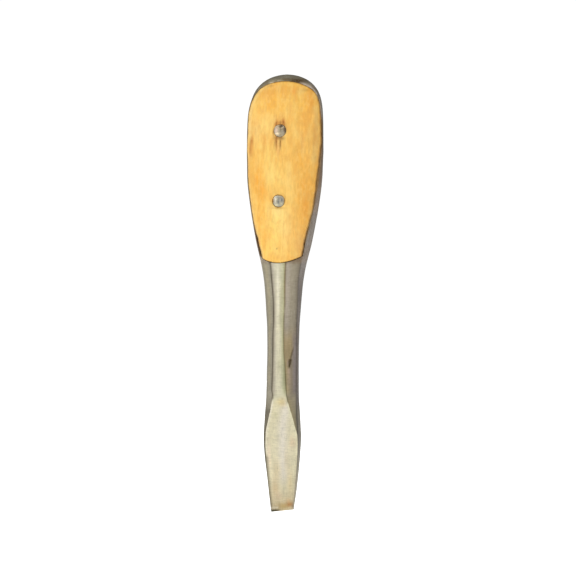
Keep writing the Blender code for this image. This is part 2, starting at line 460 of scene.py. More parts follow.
def pocket(name, side, edges):
    """Prism that opens the seat of a scale, in the steel."""
    line = np.sin(np.linspace(-0.5, 0.5, POCKET_COLUMNS) * math.pi)
    rise = np.linspace(0, 1, POCKET_ROWS)
    (one_line, one_rise) = (np.ones(POCKET_COLUMNS), np.ones(POCKET_ROWS))
    sides = [(line, 0 * one_line), (one_rise, rise), (line[::-1], one_line), (-one_rise, rise[::-1])]
    outline = []
    for (across, along) in sides:
        (x, z) = panel(across, along, edges, nothing)
        outline.append(np.stack((x[:-1] + AXIS_DRIFT(z[:-1]), z[:-1]), 1))
    outline = np.concatenate(outline)
    rings = [np.insert(outline, 1, side * depth, axis=1) for depth in (HALF_WEB, POCKET_REACH)]
    return new_mesh_object(name, np.concatenate(rings), ring_faces(2, len(outline)))


# The fold's line goes from start to knee (x, z) and on by a slope; its pit widens from a foot.
LAP_START = (4.22, 58.8)
LAP_KNEE = (4.35, 61.8)
LAP_SLOPE = 0.18
LAP_WIDTH = 0.22
LAP_FOOT = 59.4
LAP_WIDENING = 0.09
LAP_HOOK = (4.2, 62, 0.45, 0.3)


def lap_path(z):
    """Sideways place of the fold in the steel, on the front's right chamfer."""
    slope = (LAP_KNEE[0] - LAP_START[0]) / (LAP_KNEE[1] - LAP_START[1])
    low = LAP_START[0] + slope * (z - LAP_START[1])
    high = LAP_KNEE[0] + LAP_SLOPE * (z - LAP_KNEE[1])
    return np.where(z < LAP_KNEE[1], low, high)


def lap_depth(x, y, z):
    """Depth of the fold from 0 to 1: pit, hook and a faint seam above them."""
    pit_width = LAP_WIDTH + LAP_WIDENING * np.clip(z - LAP_FOOT, 0, 2.2)
    pit = bell(x, lap_path(z), pit_width) * band(z, 59.6, 61.7, 1.1)
    hook = 0.6 * blot(x, z, LAP_HOOK)
    seam = 0.25 * bell(x, lap_path(z), LAP_WIDTH) * band(z, 61, 65, 2.5)
    return np.maximum(np.maximum(pit, hook), seam) * (y < 0)


# How much the tip's end is raised, in its middle and for each millimetre towards +X, and up to
# which height; then the depth, height and span of the worn bevel.
TIP_MIDDLE_RISE = 0.62
TIP_SLOPE = 0.131
TIP_FADE = 9
TIP_BEVEL = 0.55
TIP_BEVEL_HEIGHT = 1.1
TIP_BEVEL_SPAN = (-6, -1.9)


def tip_wear(x, y, z):
    """The end is out of square and rises towards +X; its front left edge is worn to a bevel."""
    rise = np.maximum(TIP_MIDDLE_RISE + TIP_SLOPE * x, 0) * (1 - ramp(z, 0, TIP_FADE))
    bevel = band(x, *TIP_BEVEL_SPAN, 0.7) * (1 - ramp(z, 0, TIP_BEVEL_HEIGHT)) * (y < 0)
    return (rise, TIP_BEVEL * bevel)


# The butt's right shoulder is hammered to a slanting flat through this place (x, z).
BUTT_FLAT_TURN = math.radians(38)
BUTT_FLAT_AT = (13.25, 171.2)
# Hammered unevenness: wave lengths along each axis, and height.
BROAD_WAVES = (9, 9, 14)
BROAD_ROUGHNESS = 0.06
FINE_WAVES = (2.2, 2.2, 3)
FINE_ROUGHNESS = 0.014
LAP_CUT = 0.4


def shape_forging(points):
    """Hand-forged unevenness, a fold in the steel, the drift of the axis and the worn tip."""
    (x, y, z) = points.T.copy()
    rough = waves(points, BROAD_WAVES, 1) * BROAD_ROUGHNESS + waves(points, FINE_WAVES, 2) * FINE_ROUGHNESS
    reach = np.maximum(np.hypot(x, y), 1)
    away = ramp(z, 4, 30) * (1 - ramp(z, 175.5, 177.6))
    scale = 1 + (rough * away - LAP_CUT * lap_depth(x, y, z)) / reach
    (x, y) = (x * scale, y * scale)
    (aside, up) = (math.cos(BUTT_FLAT_TURN), math.sin(BUTT_FLAT_TURN))
    limit = BUTT_FLAT_AT[0] * aside + BUTT_FLAT_AT[1] * up
    over = np.maximum(x * aside + z * up - limit, 0)
    x -= over * aside
    z -= over * up
    (rise, bevel) = tip_wear(x, y, z)
    x = np.clip(x + AXIS_DRIFT(z), -REACH_X, REACH_X)
    y = np.clip(y * (1 - bevel), -REACH_Y, REACH_Y)
    return np.stack((x, y, z + rise), 1)


def make_forging():
    """The steel body: lofted rings, less the seats of the scales and the rivets' bores."""
    heights = forging_heights()
    rings = section_rings(heights)
    (rows, count) = rings.shape[:2]
    points = shape_forging(rings.reshape(-1, 3))
    item = new_mesh_object("forged_body", points, ring_faces(rows, count))
    cutters = [pocket("front_seat", FRONT, FRONT_SEAT_EDGES), pocket("back_seat", BACK, BACK_SEAT_EDGES)]
    for name in RIVETS:
        (height, head, _) = rivet_place(name)
        cutters.append(disc_prism(name + "_way", STEEL_BORE_SHARE * head, height, -BORE_REACH, BORE_REACH))
    cut_away(item, cutters)
    smooth(item, 32)
    paint_forging(item)
    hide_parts("steel_forging")
    return item


# Facet numbers follow the corners: facet 0 lies between corners 0 and 1, facet 7 is the front.
(RIGHT_FRONT, RIGHT) = (0, 1)
(BACK_FLAT, LEFT, LEFT_FRONT, FRONT_FACE) = (3, 5, 6, 7)
# Each facet's tint is painted lighter or darker for the light it faces (painted light and shade): the
# front brightest, the right side darkest.
FACET_SHADED_TINTS = ("a99f8a", "887e76", "a0967f", "cdc7ad", "a39a84", "8f8778", "ada590", "d3ceb1")


def facets_of(points):
    """Nearest facet of each point, its place across the facet, and its distance from each edge."""
    corners = section_corners(points[:, 2])
    after = np.roll(corners, -1, axis=1)
    here = points[:, None, :2]
    along = after - corners
    share = np.sum((here - corners) * along, 2) / np.sum(along**2, 2)
    nearest = corners + np.clip(share, 0, 1)[..., None] * along
    facet = np.argmin(np.linalg.norm(here - nearest, axis=2), axis=1)
    across = share[np.arange(len(facet)), facet]
    return (facet, across, np.linalg.norm(here - corners, axis=2))


# How strongly the line between the right chamfer and the right side is drawn, as a dark line of painted
# shade.
RIGHT_EDGE_SHARE = Curve((20, 0.85), (76, 0.85), (88, 0.55), (104, 0.6))
# Below, across runs from 0 to 1 over a facet and gaps are distances from the eight edge lines.
CHAMFER_BLOTS = (
    ("c4ac96", 3.72, 60.8, 0.35, 1.3, 0.9), ("c6ae98", 4.05, 57.4, 0.5, 1.3, 0.9),
    ("b39d86", 4.2, 53.5, 0.6, 2.6, 0.7),
)
SHANK_BLOTS = (("8f9070", 2.4, 54, 0.9, 5.5, 0.55), ("a3a27c", 0.6, 60, 1, 3, 0.4))


def paint_shank(tint, x, y, z, facet, across, gaps):
    """The shank's facets: soft bands of painted light and shade along them, dark edge lines of painted
    shade, and the fold in the steel.
    """
    shank = band(z, 50, 103, 4)
    front = (facet == FRONT_FACE) * shank
    # Front facet: painted light and shade across its crown, greyer on the left, brightest a little left of
    # the middle, olive and darker on the right.
    dab(tint, "c2b9a7", 0.9 * front * (1 - ramp(across, 0.12, 0.46)))
    dab(tint, "b1a995", 0.7 * front * (1 - ramp(across, 0.08, 0.34)) * band(z, 50, 84, 8))
    dab(tint, "dcd5ba", 0.8 * front * bell(across, 0.5, 0.16))
    dab(tint, "f0e9d2", 0.8 * front * bell(across, 0.46, 0.09) * band(z, 84, 95, 6))
    dab(tint, "c8c5a3", 0.9 * front * ramp(across, 0.62, 0.8))
    dab(tint, "a7a178", 0.8 * front * ramp(across, 0.76, 0.98))
    dab(tint, "b3ae8c", 0.6 * front * bell(across, 0.7, 0.17) * band(z, 77, 88, 5))
    right = (facet == RIGHT_FRONT) * shank
    # Right chamfer: painted lighter near its edge line with the front and darker towards the right side,
    # as light and shade.
    dab(tint, "b8ad9c", 0.9 * right * bell(across, 0.16, 0.2))
    dab(tint, "928877", 0.9 * right * ramp(across, 0.55, 0.95))
    past_lap = ramp(x - lap_path(z), -0.1, 0.3)
    dab(tint, "b5a074", 0.8 * right * (1 - past_lap) * band(z, 60, 68, 9))
    dab(tint, "968975", 0.8 * right * past_lap * band(z, 40, 62, 10))
    dab(tint, "998e8e", 0.7 * right * ramp(across, 0.5, 0.8) * band(z, 50, 70, 6))
    dab(tint, "b8a77e", 0.85 * right * (1 - ramp(across, 0.12, 0.5)) * band(z, 44, 60, 4))
    dab_blots(tint, x, z, CHAMFER_BLOTS, right)
    left = (facet == LEFT_FRONT) * shank
    # Left chamfer: a painted highlight along its middle and a darker line of painted shade near its outer
    # edge.
    dab(tint, "bdb292", 0.8 * left * bell(across, 0.52, 0.2) * band(z, 56, 98, 6))
    dab(tint, "8a8368", 0.45 * left * bell(across, 0.22, 0.1))
    dab_blots(tint, x, z, SHANK_BLOTS, front)
    dab(tint, "6b5a3a", 0.7 * right * bell(x, lap_path(z), 0.24) * band(z, 61, 65.5, 2.5))
    dab(tint, "443519", lap_depth(x, y, z) * 1.6)
    # Dark lines of painted shade along the right and left outer edge lines, and painted shade on the front
    # part of the right side where the shank meets the blade.
    dab(tint, "5f5850", RIGHT_EDGE_SHARE(z) * bell(gaps[:, 1], 0, 0.5) * band(z, 20, 104, 3))
    dab(tint, "857c68", 0.6 * bell(gaps[:, 6], 0, 0.6) * band(z, 48, 78, 6))
    dab(tint, "787068", 0.8 * (facet == RIGHT) * (y < 0) * band(z, 41, 51, 4))


def paint_lines(tint, z, gaps):
    """Painted shade: dark lines along the front facet's edges, on the shank."""
    left_line = bell(gaps[:, 7], 0, 0.5) * band(z, 46.5, 102, 1.5)
    right_line = bell(gaps[:, 0], 0, 0.3) * band(z, 45.2, 102, 1)
    dab(tint, "51483a", 0.92 * left_line)
    dab(tint, "6e5a38", 0.95 * right_line * ramp(z, 76, 90))
    dab(tint, "5c5533", 0.9 * right_line * (1 - ramp(z, 76, 90)))


BLADE_BLOTS = (
    ("d6bf9e", 5.1, 28.4, 1.2, 2.2, 0.8), ("ead7bb", -5.3, 23, 0.8, 6, 0.8),
    ("d4bc92", -2.7, 10, 1.5, 4, 0.8), ("d9c8a2", -2, 17, 1.6, 4, 0.7),
    ("ccb88a", 3.6, 12, 1.3, 5, 0.6), ("d5c5a0", 2.4, 21, 1, 5, 0.5),
    ("dccb97", 1, 45.6, 2, 2.2, 0.8), ("e0c78e", 1.9, 44.4, 1.2, 1.2, 0.4),
    ("c9c39c", -1.6, 39.5, 0.9, 1.2, 0.6), ("c4a768", 0.6, 2, 2.4, 1.5, 0.8),
    ("b07b40", 3.3, 2.6, 1.3, 1.2, 0.95), ("8f6f5c", 4.9, 1.9, 0.6, 1.2, 0.9),
    ("cfa777", 2.8, 4.2, 0.9, 1.4, 0.6), ("d8c0a4", -1.3, 6.5, 1.3, 1.6, 0.5),
)
# Middle line (x at each height) of the blade's polished streak, painted lighter as a sheen.
POLISHED_SHEEN = Curve((6, 0.65), (33, 1), (42, 2.65))


def paint_blade(tint, x, y, z, facet, across, gaps):
    """The ground faces of the blade, with a painted sheen and painted highlights inside their edges; the
    facets beside them, painted darker as shade with dark edge lines; and the worn tip, with painted shade
    on its bevel.
    """
    blade = 1 - ramp(z - 0.35 * x * np.sign(-y), 44.6, 47.6)
    faces = np.isin(facet, (FRONT_FACE, BACK_FLAT))
    flat = faces * blade
    dab(tint, "dbd3b3", flat)
    dab(tint, "dfd8ca", 0.85 * flat * bell(x, POLISHED_SHEEN(z), 1.9) * band(z, 16, 42, 7))
    dab(tint, "d2c19b", 0.65 * flat * (1 - ramp(z, 3, 12)))
    front = flat * (y < 0)
    dab_blots(tint, x, z, BLADE_BLOTS, front)
    # Painted highlights just inside the front face's edge lines.
    dab(tint, "efe9dc", 0.9 * bell(gaps[:, 7], 0.42, 0.25) * band(z, 24, 46, 2) * front)
    dab(tint, "dcd9b8", 0.7 * bell(gaps[:, 0], 0.4, 0.25) * band(z, 24, 44, 2) * front)
    # The facets beside the ground faces: painted darker as shade, with dark lines of painted shade along
    # their edges.
    cheeks = ~faces * band(z, 20, 40, 6)
    dab(tint, "928b77", 0.85 * cheeks)
    dab(tint, "7d7664", 0.8 * (facet == LEFT_FRONT) * band(z, 30, 40.5, 2.5))
    dab(tint, "6b665b", 0.55 * cheeks * (1 - ramp(z, 24, 38)))
    dab(tint, "a2946d", 0.8 * (facet == RIGHT_FRONT) * (1 - across) * band(z, 36, 45, 4))
    dab(tint, "57524b", 0.8 * cheeks * bell(gaps[:, 1], 0, 0.55))
    dab(tint, "5c5547", 0.9 * cheeks * bell(gaps[:, 7], 0, 0.42))
    dab(tint, "6a6353", 0.9 * cheeks * bell(gaps[:, 6], 0, 0.45))
    dab(tint, "a69f8b", 0.9 * np.isin(facet, (LEFT, RIGHT)) * (1 - ramp(z, 10, 32)))
    # Dark lines of painted shade along the front edges near the tip.
    outline = np.maximum(bell(gaps[:, 7], 0, 0.3), 0.35 * bell(gaps[:, 0], 0, 0.25))
    dab(tint, "7c7563", 0.9 * outline * band(z, 1.5, 22, 2))
    # Painted shade on the worn bevel at the tip's front, and a bright line painted as a highlight along
    # its upper edge.
    dab(tint, "55513f", 1.6 * bell(x, -3.4, 1.7) * (1 - ramp(z, 0.45, 1.05)) * (y < 0))
    dab(tint, "e9e0c6", 0.8 * bell(z, 1.55, 0.35) * band(x, -4.6, -1.9, 0.6) * (y < 0))


# Patches on the cap; the pale fleck at x -5.4 is a painted highlight on a burr.
CAP_BLOTS = (
    ("4f3c24", 4.9, 174.7, 3.4, 0.9, 1.2), ("5f5138", 0.5, 175.4, 3.2, 0.5, 1.1),
    ("66532f", -9.5, 170.8, 1.6, 0.9, 0.8), ("c9bba2", -5.4, 174.2, 1.2, 0.25, 0.75),
    ("c9b798", -8, 172.6, 1, 0.3, 0.8),
)


def paint_handle(tint, x, y, z, facet, gaps):
    """The handle's rim beside the wood, with painted shade and dirt low in the left gap; and the cap,
    painted lighter along its top and with a painted highlight beside the wood at the top right.
    """
    handle = ramp(z, 100, 103)
    right_rim = (facet == RIGHT_FRONT) * handle
    dab(tint, "8f7656", 0.8 * right_rim)
    dab(tint, "8c693a", 0.95 * right_rim * band(z, 130, 161, 6))
    right = (facet == RIGHT) * handle
    dab(tint, "968b80", 0.9 * right)
    dab(tint, "86694a", 0.9 * right * (1 - ramp(y, -1, 0.6)) * band(z, 134, 161, 6))
    dab(tint, "a38d79", 0.85 * right * band(z, 124, 146, 5))
    dab(tint, "9a7c57", 0.8 * right_rim * band(z, 126, 145, 5))
    dab(tint, "87735f", 0.6 * (right_rim + right) * band(z, 101, 107, 2))
    left_rim = (facet == LEFT_FRONT) * handle
    dab(tint, "8c6f48", 0.95 * left_rim)
    dab(tint, "a98a60", 0.7 * left_rim * band(z, 118, 128, 4))
    # Painted shade and dirt: the dark band low on the left rim, where the gap is wide.
    dab(tint, "6a4d2c", 0.9 * left_rim * band(z, 103.5, 114, 2))
    dab(tint, "cfc5b3", 0.85 * left_rim * band(z, 101.2, 103.4, 0.6))
    dab(tint, "c8b8a0", 0.85 * right_rim * blot(z, z, (104.8, 104.8, 0.9, 0.9)))
    dab(tint, "b09c7c", 0.6 * left_rim * bell(gaps[:, 6], 0, 0.4) * band(z, 114, 172, 3))
    cap = ramp(z, 165, 170) * (facet != RIGHT)
    dab(tint, "77715f", 0.9 * cap)
    # Painted light: the cap lighter along its rounded top.
    dab(tint, "8d8672", 0.9 * cap * bell(x, -1, 9) * ramp(z, 173.5, 176))
    # Painted highlight on the steel beside the wood at the top right.
    sideways = x - seat_reach(1, z, FRONT_SEAT_EDGES, nothing)
    upwards = z - cap_line(x)
    beside_wood_highlight = bell(np.maximum(sideways, 0.8 * upwards), 0.1, 0.6) * (y < 0)
    top_right_highlight = ramp(x, 5, 7.5) * ramp(z, 158, 163)
    dab(tint, "a3957f", 0.7 * top_right_highlight * ramp(x, 9, 11) * (y < 0))
    dab(tint, "d3c3b0", 0.95 * beside_wood_highlight * top_right_highlight)
    dab(tint, "a0978a", 0.8 * (facet == RIGHT) * band(z, 160, 174, 3))
    dab_blots(tint, x, z, CAP_BLOTS, y < 0)


def seat_mask(x, y, z):
    """1 on the hidden steel under the scales, and 0 elsewhere."""
    inside = (np.abs(x) < half_width(z) - 0.35) & (np.abs(y) < chamfer_height(x, z) - 0.3)
    return (inside & (z > shoulder_line(x) - 0.02) & (z < cap_line(x) + 0.02)).astype(float)


def paint_forging(item):
    """Colours of the steel, with painted light and shade, worked out from each point's place."""
    (x, y, z) = points_of(item).T
    (rise, _) = tip_wear(x, y, z)
    (x, z) = (x - AXIS_DRIFT(z), z - rise)
    (facet, across, gaps) = facets_of(np.stack((x, y, z), 1))
    tint = np.array([rgb(code) for code in FACET_SHADED_TINTS])[facet]
    paint_shank(tint, x, y, z, facet, across, gaps)
    paint_blade(tint, x, y, z, facet, across, gaps)
    paint_handle(tint, x, y, z, facet, gaps)
    paint_lines(tint, z, gaps)
    seat = seat_mask(x, y, z)
    # Painted shade and dirt: the hidden steel in the scales' seats, seen only through the gaps, is painted
    # near black.
    dab(tint, "2d2016", seat)
    store_tint(item, tint)
    store(item, "seat", seat)
    near_wood = band(z, 101, 175, 1) * (y**2 > 0.5)
    store(item, "grime", 0.35 * near_wood + 0.25 * (1 - ramp(z, 0, 12)))


# -------- wooden scales

CROWN = Curve(
    (100, 8.45), (112, 8.5), (126, 8.28), (146, 7.62), (156, 7.15), (166, 5.75),
    (175, 3.5),
)
CROWN_POWER = 2.4
# How far the wood's edge stands above the steel, and its top at least above its edge.
PROUD = 0.12
LEAST_CROWN = 0.05
# Quads across and along a scale's outer face.
COLUMNS = 180
ROWS = 340
WEB_CLEARANCE = 0.06
HEAD_CLEARANCE = 0.08
HEAD_SINK = 1
WOOD_BORE_SHARE = 0.62
WOOD_BORE_START = 0.5
WOOD_CUTTER_END = 14
CRACK_DEPTH = 0.25
# Unevenness of the worn wood: wave lengths along each axis, and height.
GRAIN_WAVES = (1.1, 4, 11)
GRAIN_RELIEF = 0.035
SWELL_WAVES = (7, 7, 12)
SWELL_RELIEF = 0.06
EDGE_WEAR = 0.14
CAP_WEAR = 0.2
# Dark gap between the wood and the steel at each height.
LEFT_GAP = Curve((100, 0.3), (104, 0.45), (111, 0.45), (114, 0.12), (165, 0.12), (172, 0.22))
RIGHT_GAP = Curve((100, 0.32), (108, 0.3), (118, 0.14), (130, 0.12), (165, 0.12), (172, 0.2))
EVEN_GAP = 0.16


def wood_gap(across, z):
    """Gap round the front scale: its edge is nicked here and there."""
    uneven = 0.04 * np.sin(1.3 * z + 4 * across) + 0.03 * np.sin(3.1 * z - 9 * across) * np.sin(0.7 * z)
    return np.where(across < 0, LEFT_GAP(z), RIGHT_GAP(z)) + np.maximum(uneven, -0.04)


def even_gap(across, z):
    return EVEN_GAP + 0 * z


SEATS = {FRONT: (FRONT_SEAT_EDGES, wood_gap), BACK: (BACK_SEAT_EDGES, even_gap)}


def scale_height(across, x, z):
    """Height of the wood's smooth crown above the tool's middle plane."""
    edge = chamfer_height(x / np.maximum(np.abs(across), 0.5), z) + PROUD
    top = np.maximum(CROWN(z), edge + LEAST_CROWN)
    return edge + (top - edge) * np.sqrt(np.maximum(1 - np.abs(across) ** CROWN_POWER, 0))


# Cracks along the grain by the upper rivet: (place, lean, from, to, half width).
CRACKS = (
    (-1.5, -0.04, 145.8, 153, 0.3), (0.3, 0.02, 145.2, 153, 0.22),
    (-2.05, 0.16, 155, 158.6, 0.42), (1.95, -0.14, 155, 159, 0.46),
)
CRACK_MIDDLE = 154
CRACK_TAPER = 11


def cracks_at(x, z):
    """Depth of the cracks from 0 to 1; they thin out away from the rivet."""
    depth = np.zeros_like(x)
    for (place, lean, low, high, width) in CRACKS:
        path = place + lean * (z - CRACK_MIDDLE) + 0.07 * np.sin(z * 1.1 + place * 3)
        taper = width * np.maximum(1 - np.abs(z - CRACK_MIDDLE) / CRACK_TAPER, 0.3)
        depth = np.maximum(depth, bell(x, path, taper) * band(z, low + 1.2, high - 1.2, 1.2))
    return depth


def scale_top(side, seed):
    """Grid of points on a scale's outer face: crown, wavy relief, worn edges and cracks."""
    stretch = np.linspace(-1, 1, COLUMNS + 1)
    columns = 0.5 * stretch + 0.5 * np.sin(0.5 * math.pi * stretch)
    (across, along) = np.meshgrid(columns, np.linspace(0, 1, ROWS + 1))
    (x, z) = panel(across, along, *SEATS[side])
    flat = np.stack((x.ravel(), np.full(x.size, side * 5), z.ravel()), 1)
    relief = waves(flat, GRAIN_WAVES, seed, 4) * GRAIN_RELIEF
    relief += waves(flat, SWELL_WAVES, seed + 1) * SWELL_RELIEF
    worn = EDGE_WEAR * np.abs(across) ** 30 + EDGE_WEAR * (1 - ramp(along, 0, 0.008))
    worn += CAP_WEAR * ramp(along, 0.99, 1)
    height = scale_height(across, x, z)
    height = height + relief.reshape(x.shape) * (1 - np.abs(across) ** 12) - worn
    height -= CRACK_DEPTH * cracks_at(x * -side, z)
    return np.stack((x + AXIS_DRIFT(z), side * np.minimum(height, REACH_Y), z), 2)


def scale_mesh(name, side, seed):
    """Solid between a scale's outer face and its flat floor on the web."""
    top = scale_top(side, seed)
    grid = np.arange(top.size // 3).reshape(top.shape[:2])
    top = top.reshape(-1, 3)
    quads = np.stack((grid[:-1, :-1], grid[:-1, 1:], grid[1:, 1:], grid[1:, :-1]), -1).reshape(-1, 4)
    ring = np.concatenate([grid[0, :-1], grid[:-1, -1], grid[-1, :0:-1], grid[:0:-1, 0]])
    floor = top[ring]
    floor[:, 1] = side * (HALF_WEB + WEB_CLEARANCE)
    under = len(top) + np.arange(len(ring))
    skirt = np.stack((ring, np.roll(ring, -1), np.roll(under, -1), under), 1)
    faces = quads.tolist() + skirt.tolist() + [under.tolist()]
    return new_mesh_object(name, np.concatenate([top, floor]), faces)


def make_scale(name, node, side, seed):
    """A wooden scale with its rivets' bores and sunk heads' seats."""
    item = scale_mesh(name, side, seed)
    end = side * WOOD_CUTTER_END
    cutters = []
    for rivet in RIVETS:
        (height, head, half) = rivet_place(rivet)
        cutters.append(disc_prism("seat", head + HEAD_CLEARANCE, height, side * (half - HEAD_SINK), end))
        cutters.append(disc_prism("way", WOOD_BORE_SHARE * head, height, side * WOOD_BORE_START, end))
    cut_away(item, cutters)
    smooth(item, 40)
    paint_scale(item, side)
    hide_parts(node)
    return item


# Patches of the wood's colour: (code, centre x, centre z, reach x, reach z, share). The two darker orange
# patches inside the right edge, near x 10 and z 125 to 129, are painted shade where the crown rounds away.
WOOD_FIGURE_AND_SHADE = (
    ("f9cf80", -5.2, 155, 4.5, 5, 0.7), ("ffdf8c", -3, 136.5, 4.2, 4, 0.8),
    ("fddc8a", -0.6, 120, 3.6, 6.5, 0.8), ("fad67e", -0.4, 113, 3, 5, 0.6),
    ("fad57d", -3.5, 107, 4, 4, 0.4), ("fdd282", 4.6, 133.5, 3, 4, 0.6),
    ("f4c98a", -11, 155, 2.5, 5, 0.5), ("fcd67e", -3.5, 145, 4, 5, 0.5),
    ("f5ab3e", -8.7, 134, 2, 7, 1), ("f8ab3c", -6.8, 131, 1.6, 4.2, 0.6),
    ("fbb851", -7.2, 122.5, 1.7, 7, 0.6), ("f6b553", -5.9, 110.5, 1.2, 5, 0.5),
    ("f6b555", -10.5, 141, 1.6, 4, 0.6), ("e69d3e", 10.6, 125.6, 1.5, 6.5, 0.9),
    ("ecab4e", 9.4, 128.5, 2.2, 6.5, 0.7), ("eeae4e", 9.2, 142, 2.2, 4.5, 0.7),
    ("dc9b52", 9.4, 149.6, 0.9, 4, 0.7), ("efa24b", 11.2, 153.5, 1.2, 1.6, 0.5),
    ("ecba68", 11.8, 149.5, 1.6, 8, 0.7), ("dd9c50", -6.4, 150.4, 0.8, 2.8, 0.6),
    ("efad4c", -1, 171.5, 10, 3, 0.6),
    ("f4ad48", -6, 169.2, 5, 2.6, 0.6), ("f1a252", 4.6, 170.4, 1.1, 1.3, 0.7),
    ("e3b97c", 7.4, 170.4, 1.4, 1.6, 0.7), ("e6a862", 11.2, 168.6, 1.8, 2, 0.6),
    ("eba24a", 12, 165.6, 1.2, 2.6, 0.7), ("f7b84a", -1.5, 163.4, 3, 2.4, 0.6),
    ("f3c677", 4, 163, 2.2, 4, 0.5), ("e7b97a", 8.6, 109, 1.9, 5.5, 0.7),
    ("f2b45a", 3, 103, 6, 1.2, 0.6), ("fdbb52", 1.6, 111, 1.4, 2.6, 0.4),
    ("edb058", 6.5, 118, 2, 8, 0.4), ("f0b862", 5.6, 151, 2, 5, 0.4),
    ("fbd898", 3.4, 114, 3.2, 9, 0.5), ("f4ae3c", -3.4, 165.5, 4.4, 3.6, 0.6),
    ("ffdf9c", -0.6, 122, 4, 2, 0.5),
    ("b8763a", -12.6, 150.4, 0.9, 2.2, 0.95), ("c88748", -13.2, 147, 0.8, 2.4, 0.9),
    ("6e4a22", -11.3, 170.4, 1, 0.6, 1.2), ("7a5126", -9, 172.3, 1, 0.5, 1.1),
    ("7d5529", -13, 168.2, 0.6, 1.1, 1), ("b5803f", -5.9, 172.9, 1.2, 0.5, 0.6),
    ("c08a48", 9.4, 170.9, 1.4, 0.6, 0.6), ("9c6a33", 13.6, 150, 0.5, 6, 0.5),
    ("d49b5c", -12.4, 146, 0.8, 2.6, 0.4),
)
# Last changes to the wood's colour: for each channel, then painted light and shade for each height,
# lighter near the shoulder and darker under the cap.
WOOD_DEPTH = (0.95, 0.955, 0.76)
WOOD_PAINTED_SHADING = Curve((100, 1.09), (112, 1.06), (124, 1.02), (136, 1), (160, 1), (172, 0.95))
# The back scale's figure is the front's turned: a place and its turned one add up to this.
BACK_TURN = (1.5, 277)
# Marks round the rivets and in the cracks, the same on both scales. The dark brown patches under each head
# and the brown ones at its sides are painted shadow and dirt.
RIVET_MARKS_AND_SHADE = (
    ("d0843a", -1.6, 157, 0.9, 2, 1.2), ("bd7430", 1.35, 157.3, 0.8, 2.1, 1.3),
    ("c58a42", 0, 157.3, 1.9, 1, 1.2), ("6f4622", -0.1, 151.4, 1.9, 0.8, 1.3),
    ("b9864c", -1.45, 149.9, 0.85, 2.8, 1), ("c08f52", 0.3, 149.6, 0.6, 3, 0.9),
    ("f2cd92", -0.55, 147.5, 0.35, 3, 0.8), ("96602c", 0.1, 157.5, 0.3, 0.9, 0.7),
    ("b07c3c", -2.75, 153.6, 0.45, 1.8, 0.9), ("b98a4a", 2.7, 154.8, 0.35, 1.8, 0.7),
    ("a8783c", 0, 123.2, 2.4, 0.45, 0.7), ("c79a58", -2.8, 126, 0.45, 1.9, 0.6),
    ("a87c44", 2.75, 126.6, 0.35, 1.6, 0.6), ("b58a4c", 0, 128.9, 2, 0.4, 0.2),
    ("f0be78", -0.7, 147.5, 0.6, 3, 0.5), ("8d6c3e", -0.4, 106.8, 0.28, 0.3, 0.9),
)


def paint_scale(item, side):
    """Colours of a scale: figure and marks with some painted shade, lighter margins painted as highlights,
    a darker rim, cracks, painted shade and dirt in the gaps, and painted light and shade by height.
    """
    (x, y, z) = points_of(item).T
    x = (x - AXIS_DRIFT(z)) * -side
    tint = np.tile(rgb("f6c168"), (len(x), 1))
    # Painted shade: darker and more orange towards the right edge, where the crown rounds away.
    dab(tint, "efb257", 0.8 * ramp(x, 4.5, 11.5))
    (plain_x, plain_z) = (x, z) if side == FRONT else (BACK_TURN[0] - x, BACK_TURN[1] - z)
    dab_blots(tint, plain_x, plain_z, WOOD_FIGURE_AND_SHADE)
    dab_blots(tint, x, z, RIVET_MARKS_AND_SHADE)
    reach = seat_reach(np.sign(x * -side), z, *SEATS[side]) - np.abs(x)
    # Painted highlights: lighter margins along the rounded left edge and the upper right edge.
    dab(tint, "f6d096", 0.75 * bell(reach, 1.3, 1) * (x < 0) * ramp(z, 148, 156))
    dab(tint, "f3cb90", 0.45 * bell(reach, 1, 0.5) * (x < 0))
    dab(tint, "ecc078", 0.75 * bell(reach, 1.3, 1.1) * (x > 0) * band(z, 143, 163, 3))
    (low, high) = (z - shoulder_line(x), cap_line(x) - z)
    rim = np.maximum(1 - ramp(reach, 0, 0.36), 1 - ramp(low, 0.15, 0.55))
    rim = np.maximum(rim, 1 - ramp(high, 0.15, 0.6))
    dab(tint, "a9743a", 0.75 * rim)
    # Painted shade and dirt at the low left edge, where the gap beside the steel is wide.
    gap_shade_and_dirt = (1 - ramp(reach, 0.2, 1.15)) * (x * -side < 0)
    dab(tint, "80603a", 0.9 * gap_shade_and_dirt * band(z, 103, 113, 4))
    dab(tint, "7d552c", 0.8 * cracks_at(x, z) * (z < CRACK_MIDDLE))
    dab(tint, "9a5f28", 0.85 * cracks_at(x, z) * (z > CRACK_MIDDLE))
    # Painted light: a little lighter towards the right edge as well.
    tint *= np.array(WOOD_DEPTH) * (WOOD_PAINTED_SHADING(z) + 0.09 * ramp(x, 6, 12))[:, None]
    tint[:, 2] *= 1 - 0.2 * ramp(z, 158, 172)
    # Painted shade: the scale's edges that sit below the steel, in the gap, are painted near black.
    below = np.abs(y) < chamfer_height(x, z) - 0.25
    dab(tint, "4a3220", below * (np.abs(y) < 0.98 * CROWN(z)) * (rim > 0.5).astype(float))
    store_tint(item, tint)
    store(item, "rim", rim)


# -------- rivets

RIVET_SPOKES = 120
RIVET_RINGS = 30
HEAD_CROWN = 0.42
HEAD_DEPTH = 0.6
HEAD_RELIEF = 0.035
HEAD_WAVES = (0.9, 0.9, 0.9)
HEAD_RIM_DROP = 0.12
NECK_SHARE = 0.58
# Flats beaten into each head: (tilt along x, tilt along z, level in the middle).
UPPER_FLATS = ((-0.16, 0.02, 0.3), (0.2, -0.02, 0.32), (0.02, 0.3, 0.4), (-0.05, -0.34, 0.38))
LOWER_FLATS = ((0.2, 0.2, 0.31), (-0.26, 0.1, 0.33), (0.06, -0.3, 0.34), (-0.3, -0.2, 0.4))


